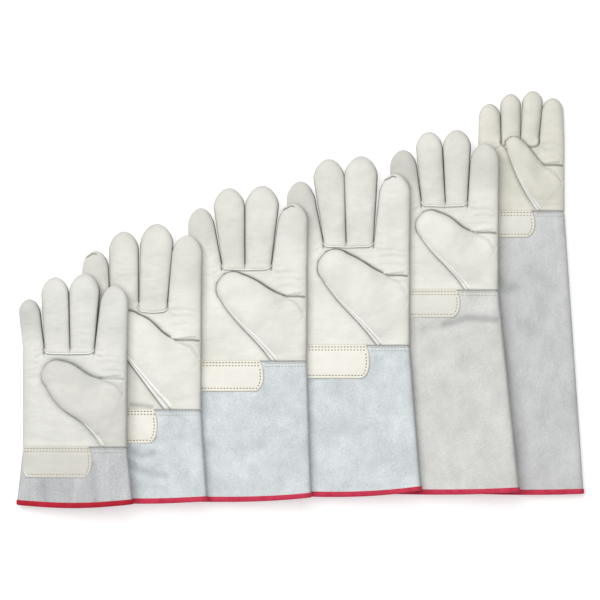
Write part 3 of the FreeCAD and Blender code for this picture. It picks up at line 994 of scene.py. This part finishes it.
class Tab:
    """The leather pull tab sewn over the wrist seam, rounded at its end."""

    def __init__(self, glove, hand, cuff):
        self.glove, self.hand, self.cuff = glove, hand, cuff
        low, high = glove.tab
        self.low, self.top, self.end = low[1], high[1] + 0.6, high[0]
        self.start = max(low[0], glove.left * 0.6 + 0.8)
        self.depth = self.top - self.low

    def ends(self, share):
        """Left and right end at a share of the way down the tab."""
        slant = TAB_SLANT * np.clip(1 - share / 0.45, 0, 1) ** 2
        past = (np.clip((share - begin) / (1 - begin), 0, 1) for begin, _ in TAB_CORNERS)
        near, far = (size * (1 - np.sqrt(1 - 0.98 * part ** 2))
                     for part, (_, size) in zip(past, TAB_CORNERS))
        return self.start + near, self.end - slant - far

    def base(self, across, along):
        hand = self.hand.palm(across, np.maximum(along, self.glove.wrist))[2] + 0.9
        return np.where(along > self.glove.wrist, hand, self.cuff.front(across, along) + 0.25)

    def height(self, across, along, inside):
        """Outer face of the tab: rounded at the border and pulled down by its stitches."""
        border = np.sqrt(1 - np.clip(1 - inside / TAB_EDGE, 0, 1) ** 2)
        crown = 0.5 * smooth(inside, BORDER_ROW, 12)
        dent = 0.35 * np.exp(-((inside - BORDER_ROW) / 0.8) ** 2)
        for row in TOP_ROWS:
            dent = np.maximum(dent, 0.35 * np.exp(-((self.top - along - row) / 0.8) ** 2))
        crumpled = crumple(across, along, (14.0, 0.5, self.glove.number + 60, 1.0))
        return self.base(across, along) + TAB_THICKNESS * border + crown - dent + crumpled * border

    def place(self, share, along_share):
        share, down = np.broadcast_arrays(share, along_share)
        left, right = self.ends(down)
        across = left + share * (right - left)
        along = self.top - down * self.depth
        inside = np.minimum.reduce([across - left, right - across, along - self.low])
        return across, along, np.maximum(inside, 0.0)

    def build(self, material):
        spacing = (superellipse(71, 2.0)[0] + 1) / 2
        share = np.linspace(0, 1, 71) * 0.6 + spacing * 0.4
        down = np.linspace(0, 1, 37) * 0.7 + (superellipse(37, 2.0)[0] + 1) / 2 * 0.3
        across, along, inside = self.place(share[None, :], down[::-1, None])
        inside = np.minimum(inside, self.top - along)
        front = np.stack([across, along, self.height(across, along, inside)], axis=-1)
        # The shade attribute marks the tab's raw border, which takes the border leather's own
        # colour.
        shade = 1 - smooth(inside, 0.2, 1.3)
        return sheet_piece(self.glove, f"{self.glove.body}_wrist_tab_leather", front, 1.5, material,
                           shade)

    def seam_rows(self):
        """Paths of the stitches: two along the top, one round the end and the lower edge."""
        rows = []
        for row in TOP_ROWS:
            down = row / self.depth
            left, right = self.ends(np.array(down))
            across = np.linspace(left + 1.5, right - 1.2, 60)
            rows.append((across, np.full_like(across, self.top - row)))
        corner = 1 - BORDER_ROW / self.depth
        down = np.linspace(TOP_ROWS[1] / self.depth + 0.08, corner, 24)
        left, right = self.ends(down)
        end_across, end_along = right - BORDER_ROW, self.top - down * self.depth
        low_across = np.linspace(end_across[-1], left[-1] + BORDER_ROW, 50)[1:]
        rows.append((np.concatenate([end_across, low_across]),
                     np.concatenate([end_along, np.full_like(low_across, end_along[-1])])))
        return rows

    def stitching(self, material):
        paths = []
        for across, along in self.seam_rows():
            inside = np.full_like(across, BORDER_ROW)
            height = self.height(across, along, inside) + 0.15
            paths.append(np.column_stack([across, along, height]))
        return stitches(self.glove, f"{self.glove.body}_tab_stitches", paths, STITCH_RADIUS,
                        material)


def cuff_stitching(glove, cuff, tab, material):
    """Two rows of stitches that hold the cuff to the hand, all round the wrist."""
    paths = []
    for row in TOP_ROWS:
        along = glove.wrist - row + 0.5
        ring = cuff.ring(along, 0.02)
        front = ring[:CUFF_COLUMNS]
        front = front[(front[:, 0] > tab.end + 0.5) & (front[:, 0] < glove.right - 1.5)]
        back = ring[CUFF_COLUMNS:]
        back = back[(back[:, 0] > glove.left + 4) & (back[:, 0] < glove.right - 4)]
        paths += [front, back]
    return stitches(glove, f"{glove.body}_cuff_stitches", paths, CUFF_STITCH_RADIUS, material)


# ---------------------------------------------------------------- materials

class Surface:
    """A material while it is made: its nodes, its shader and the object's own coordinates."""

    def __init__(self, name):
        self.material = bpy.data.materials.new(name)
        self.material.use_nodes = True
        self.tree = self.material.node_tree
        self.tree.nodes.clear()
        output = self.tree.nodes.new("ShaderNodeOutputMaterial")
        self.shader = self.tree.nodes.new("ShaderNodeBsdfPrincipled")
        self.feed(output, {"Surface": self.shader.outputs["BSDF"]})

    def feed(self, node, inputs):
        """Links each input to a socket, or sets it to a plain value."""
        for name, value in inputs.items():
            if isinstance(value, bpy.types.NodeSocket):
                self.tree.links.new(value, node.inputs[name])
            else:
                node.inputs[name].default_value = value

    def add(self, kind, output, inputs, **settings):
        """Adds a node and gives back one of its outputs."""
        node = self.tree.nodes.new(f"ShaderNode{kind}")
        for name, value in settings.items():
            setattr(node, name, value)
        self.feed(node, inputs)
        return node.outputs[output]

    def place(self):
        return self.add("TexCoord", "Object", {})

    def noise(self, place, scale, detail=4.0, roughness=0.6):
        return self.add("TexNoise", "Fac", {"Scale": scale, "Detail": detail,
                                            "Roughness": roughness, "Vector": place})

    def stretched(self, place, scale):
        return self.add("Mapping", "Vector", {"Scale": scale, "Vector": place})

    def ramp(self, factor, low, high, dark, light):
        """A blend from a dark colour at low to a light one at high."""
        node = self.tree.nodes.new("ShaderNodeValToRGB")
        for element, position, colour in zip(node.color_ramp.elements, (low, high), (dark, light)):
            element.position = position
            element.color = (*colour, 1.0)
        self.feed(node, {"Fac": factor})
        return node.outputs["Color"]

    def bump(self, *layers):
        """Relief for the shader, from layers of (height, strength, distance)."""
        normal = {}
        for height, strength, distance in layers:
            normal = {"Normal": self.add("Bump", "Normal", {
                "Strength": strength, "Distance": distance, "Height": height, **normal})}
        self.feed(self.shader, normal)

    def shaded(self, colour, shade_and_edge_colour, strength):
        """Mixes in the painted-shade colour where the piece's shade attribute says so; the tabs use
        the same mix for their raw edge's own colour.
        """
        shade = self.add("Attribute", "Fac", {}, attribute_name="shade")
        weight = self.add("Math", 0, {0: shade, 1: strength}, operation="MULTIPLY")
        return self.add("Mix", "Result", {"Factor": weight, "A": colour,
                                          "B": (*shade_and_edge_colour, 1.0)}, data_type="RGBA")


# seam is the dark colour of the painted shade in creases, in gaps and on rounded sides; the tabs
# pass their raw edge's own colour instead.
def grain_leather(name, light, dark, seam=(0.07, 0.07, 0.065), strength=0.92):
    """Soft grain leather: pebbled cells, fine wrinkles and a faint mottle."""
    surface = Surface(name)
    place = surface.place()
    colour = surface.ramp(surface.noise(place, 30.0, 6.0), 0.3, 0.7, dark, light)
    cells = surface.add("TexVoronoi", "Distance", {"Scale": 800.0, "Vector": place},
                        feature="DISTANCE_TO_EDGE")
    wrinkle = surface.stretched(place, (0.35, 1.0, 1.0))
    fine = surface.noise(wrinkle, 330.0, 6.0)
    surface.bump((cells, 0.2, 0.0005), (fine, 0.4, 0.0007),
                 (surface.noise(wrinkle, 90.0), 0.45, 0.0014))
    rough = surface.add("MapRange", "Result", {"To Min": 0.5, "To Max": 0.7, "Value": fine})
    surface.feed(surface.shader, {"Base Color": surface.shaded(colour, seam, strength),
                                  "Roughness": rough, "Specular IOR Level": 0.3})
    return surface.material


# Dark colour of the painted shade on the cuffs: on their sides, in their folds and under the hand's
# edge.
SUEDE_SHADE_COLOUR = (0.16, 0.17, 0.18)


def split_suede(name, light, dark, streak):
    """Brushed split leather: a short nap, blotches and streaks along the cuff."""
    surface = Surface(name)
    place = surface.place()
    stretch = surface.stretched(place, (1.0, streak, 1.0))
    both = surface.add("Mix", "Result", {
        "Factor": 0.5, "A": surface.noise(stretch, 42.0, 8.0, 0.68),
        "B": surface.noise(place, 640.0, 5.0, 0.7)})
    colour = surface.ramp(both, 0.37, 0.63, dark, light)
    surface.bump((surface.noise(place, 1300.0, 5.0, 0.7), 0.45, 0.0005),
                 (surface.noise(stretch, 200.0, 6.0), 0.4, 0.0009))
    surface.feed(surface.shader, {
        "Base Color": surface.shaded(colour, SUEDE_SHADE_COLOUR, 0.7), "Roughness": 0.95,
        "Specular IOR Level": 0.1, "Sheen Weight": 0.15, "Sheen Roughness": 0.5})
    return surface.material


def woven_tape(name, light, dark):
    surface = Surface(name)
    place = surface.place()
    weave = surface.add("TexWave", "Fac", {"Scale": 260.0, "Distortion": 1.5, "Vector": place})
    surface.bump((weave, 0.5, 0.0004))
    colour = surface.ramp(surface.noise(place, 120.0), 0.3, 0.7, dark, light)
    surface.feed(surface.shader, {"Base Color": colour, "Roughness": 0.8,
                                  "Specular IOR Level": 0.2})
    return surface.material


def twisted_thread(name, light, dark):
    surface = Surface(name)
    twist = surface.add("TexWave", "Fac", {"Scale": 500.0, "Vector": surface.place()},
                        bands_direction="DIAGONAL")
    surface.bump((twist, 0.5, 0.0002))
    surface.feed(surface.shader, {"Base Color": surface.ramp(twist, 0.2, 0.8, dark, light),
                                  "Roughness": 0.6})
    return surface.material


BORDER = (0.64, 0.60, 0.47)      # raw edge of the tabs
MATERIALS = {
    "cool": grain_leather("cool_grain_leather", (0.69, 0.69, 0.645), (0.60, 0.60, 0.56)),
    "ivory": grain_leather("ivory_grain_leather", (0.745, 0.735, 0.68), (0.645, 0.64, 0.585)),
    "cream": grain_leather("cream_grain_leather", (0.695, 0.68, 0.605), (0.60, 0.59, 0.525)),
    "dusk": grain_leather("dusky_grain_leather", (0.635, 0.635, 0.59), (0.55, 0.55, 0.51)),
    "insert": grain_leather("insert_leather", (0.71, 0.705, 0.65), (0.59, 0.585, 0.53)),
    "tab": grain_leather("tab_leather", (0.79, 0.775, 0.71), (0.71, 0.695, 0.63), BORDER, 0.6),
    "grey_tab": grain_leather("grey_tab_leather", (0.61, 0.605, 0.56), (0.53, 0.525, 0.48),
                              BORDER, 0.5),
    "mid_tab": grain_leather("mid_tab_leather", (0.70, 0.69, 0.635), (0.62, 0.61, 0.555),
                             BORDER, 0.5),
    "welt": grain_leather("welt_leather", (0.86, 0.86, 0.82), (0.78, 0.78, 0.74)),
    "grey": split_suede("split_leather_grey", (0.60, 0.605, 0.61), (0.35, 0.36, 0.365), 0.22),
    "smoke": split_suede("smoky_split_leather", (0.62, 0.63, 0.625), (0.45, 0.455, 0.455), 0.6),
    "blue": split_suede("split_leather_blue", (0.69, 0.73, 0.74), (0.46, 0.50, 0.515), 0.8),
    "warm": split_suede("split_leather_warm", (0.67, 0.675, 0.645), (0.50, 0.505, 0.48), 0.8),
    "tape": woven_tape("hem_tape", (0.60, 0.045, 0.09), (0.45, 0.025, 0.06)),
    "crimson": woven_tape("crimson_hem_tape", (0.47, 0.016, 0.04), (0.34, 0.008, 0.02)),
    "gold": twisted_thread("tab_thread", (0.32, 0.25, 0.10), (0.16, 0.12, 0.05)),
    "straw": twisted_thread("straw_thread", (0.50, 0.44, 0.25), (0.34, 0.29, 0.16)),
    "pale": twisted_thread("seam_thread", (0.56, 0.54, 0.42), (0.36, 0.35, 0.27)),
}
GRAINS = {1: "cool", 2: "ivory", 3: "ivory", 4: "ivory", 5: "ivory", 6: "cream"}
THUMBS = {**GRAINS, 1: "dusk"}
INSERTS = {1: "cool", 2: "insert", 3: "insert", 4: "insert", 5: "insert", 6: "cream"}
TABS = {1: "grey_tab", 2: "tab", 3: "tab", 4: "tab", 5: "mid_tab", 6: "mid_tab"}
TAB_THREADS = {1: "straw", 2: "gold", 3: "gold", 4: "gold", 5: "straw", 6: "straw"}
SUEDES = {1: "grey", 2: "blue", 3: "blue", 4: "blue", 5: "warm", 6: "smoke"}
SUEDE_SLOTS = {"grey": "split_leather_grey", "smoke": "split_leather_grey",
               "blue": "split_leather_blue", "warm": "split_leather_warm"}


# ---------------------------------------------------------------- putting a glove together

JOINTS = {(joint["parent"], joint["child"]) for joint in frame["joints"]}
INSERT_WELT_RADIUS = 0.6


def join_root(piece, glove, child):
    """Leaves a stall piece free, its transform baked, when it has a joint at its root, or fixes it
    to the glove when it has no joint.
    """
    if (glove.body, child) in JOINTS:
        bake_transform(piece)
    else:
        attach(piece, glove.body)


def seam_cord(glove, hand, material):
    """The welt that shows in the seam below the ring and middle fingers."""
    corners = np.array(hand.insert_seam())
    lengths = path_lengths(corners)
    path = along_path(np.linspace(0, lengths[-1], 80), lengths, corners)
    for _ in range(4):
        path[1:-1] = (path[:-2] + 2 * path[1:-1] + path[2:]) / 4
    height = hand.palm(path[:, 0], path[:, 1] + 0.8)[0] - 0.1
    return tube_piece(glove, f"{glove.body}_insert_welt", np.column_stack([path, height]),
                      INSERT_WELT_RADIUS, material)


def make_glove(number):
    glove = Glove(number)
    hand, cuff = Hand(glove), Cuff(glove)
    tab, thumb = Tab(glove, hand, cuff), Thumb(glove, hand)
    fingers = {name: hand.finger_skin(name) for name in FINGERS}
    hand_skin, sleeve = hand.skin(), cuff.skin()
    share_normals([hand_skin, *fingers.values()])
    share_normals([sleeve])
    suede, grain, insert = SUEDES[number], MATERIALS[GRAINS[number]], MATERIALS[INSERTS[number]]

    fixed = [
        (hand_skin.build([grain, insert]), "grain_leather", ("palm", "back")),
        (sleeve.build([MATERIALS[suede]]), SUEDE_SLOTS[suede], ("cuff",)),
        (cuff.binding(MATERIALS["crimson" if number == 1 else "tape"]), "hem_tape",
         ("hem_binding",)),
        (tab.build(MATERIALS[TABS[number]]), "tab_leather", ("wrist_tab",)),
        (tab.stitching(MATERIALS[TAB_THREADS[number]]), "thread", ()),
        (cuff_stitching(glove, cuff, tab, MATERIALS["pale"]), "thread", ()),
    ]
    if number != 6:
        fixed.append((seam_cord(glove, hand, MATERIALS["welt"]), "welt", ()))
    for piece, slot, nodes in fixed:
        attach(piece, glove.body)
        if nodes:
            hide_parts(*(f"{glove.body}_{node}" for node in nodes))

    hand.mark_insert(fixed[0][0])

    for name, skin in fingers.items():
        piece = skin.build([insert if name in ("ring", "middle") else grain])
        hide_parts(f"{glove.body}_{name}_finger")
        join_root(piece, glove, f"{glove.body}_{name}")

    for piece, slot in ((thumb.build(MATERIALS[THUMBS[number]]), "grain_leather"),
                        (thumb.welt(MATERIALS["welt"]), "welt")):
        join_root(piece, glove, f"{glove.body}_thumb")
        if slot == "grain_leather":
            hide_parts(f"{glove.body}_thumb")


# ---------------------------------------------------------------- stage, light and camera

FLOOR_LIFT = -0.0006     # just under the lowest point of the gloves
FLOOR_REACH = 6.0


def make_floor():
    surface = Surface("floor")
    surface.feed(surface.shader, {
        "Base Color": (0.72, 0.72, 0.72, 1.0), "Roughness": 1.0, "Specular IOR Level": 0.0,
        "Emission Color": (1.0, 1.0, 1.0, 1.0), "Emission Strength": 0.38})
    corners = [(x * FLOOR_REACH, y * FLOOR_REACH, FLOOR_LIFT)
               for x, y in ((-1, -1), (1, -1), (1, 1), (-1, 1))]
    make_object("floor", corners, [(0, 1, 2, 3)], [surface.material])


def area_light(name, place, size, power):
    light = bpy.data.lights.new(name, "AREA")
    light.shape = "SQUARE"
    light.size = size
    light.energy = power
    lamp = add_object(name, light)
    lamp.location = place
    lamp.rotation_mode = "QUATERNION"
    lamp.rotation_quaternion = Vector(place).to_track_quat("Z", "Y")


def light_scene():
    world = bpy.data.worlds.new("studio")
    world.use_nodes = True
    background = world.node_tree.nodes["Background"]
    background.inputs["Color"].default_value = (1.0, 1.0, 1.0, 1.0)
    background.inputs["Strength"].default_value = 0.35
    bpy.context.scene.world = world
    area_light("softbox", (-0.4, 0.5, 3.0), 2.6, 80.0)
    area_light("key", (-1.5, 1.4, 1.9), 0.7, 17.0)
    bpy.context.scene.view_settings.view_transform = "Standard"


VIEW_WIDTH = 0.630       # what the view takes in at the gloves, in metres
CAMERA_HEIGHT = 12.0
CAMERA_OFFSET = (0.0004, -0.0025)    # from the middle of the row


def make_camera():
    low, high = CAD_BOX
    middle = (low + high) / 2
    data = bpy.data.cameras.new("camera")
    data.sensor_width = 36.0
    data.lens = 36.0 * CAMERA_HEIGHT / VIEW_WIDTH
    data.clip_end = 50.0
    camera = add_object("camera", data)
    camera.location = (middle.x + CAMERA_OFFSET[0], middle.y + CAMERA_OFFSET[1], CAMERA_HEIGHT)
    bpy.context.scene.camera = camera


make_camera()
for number in GLOVES:
    make_glove(number)
make_floor()
light_scene()
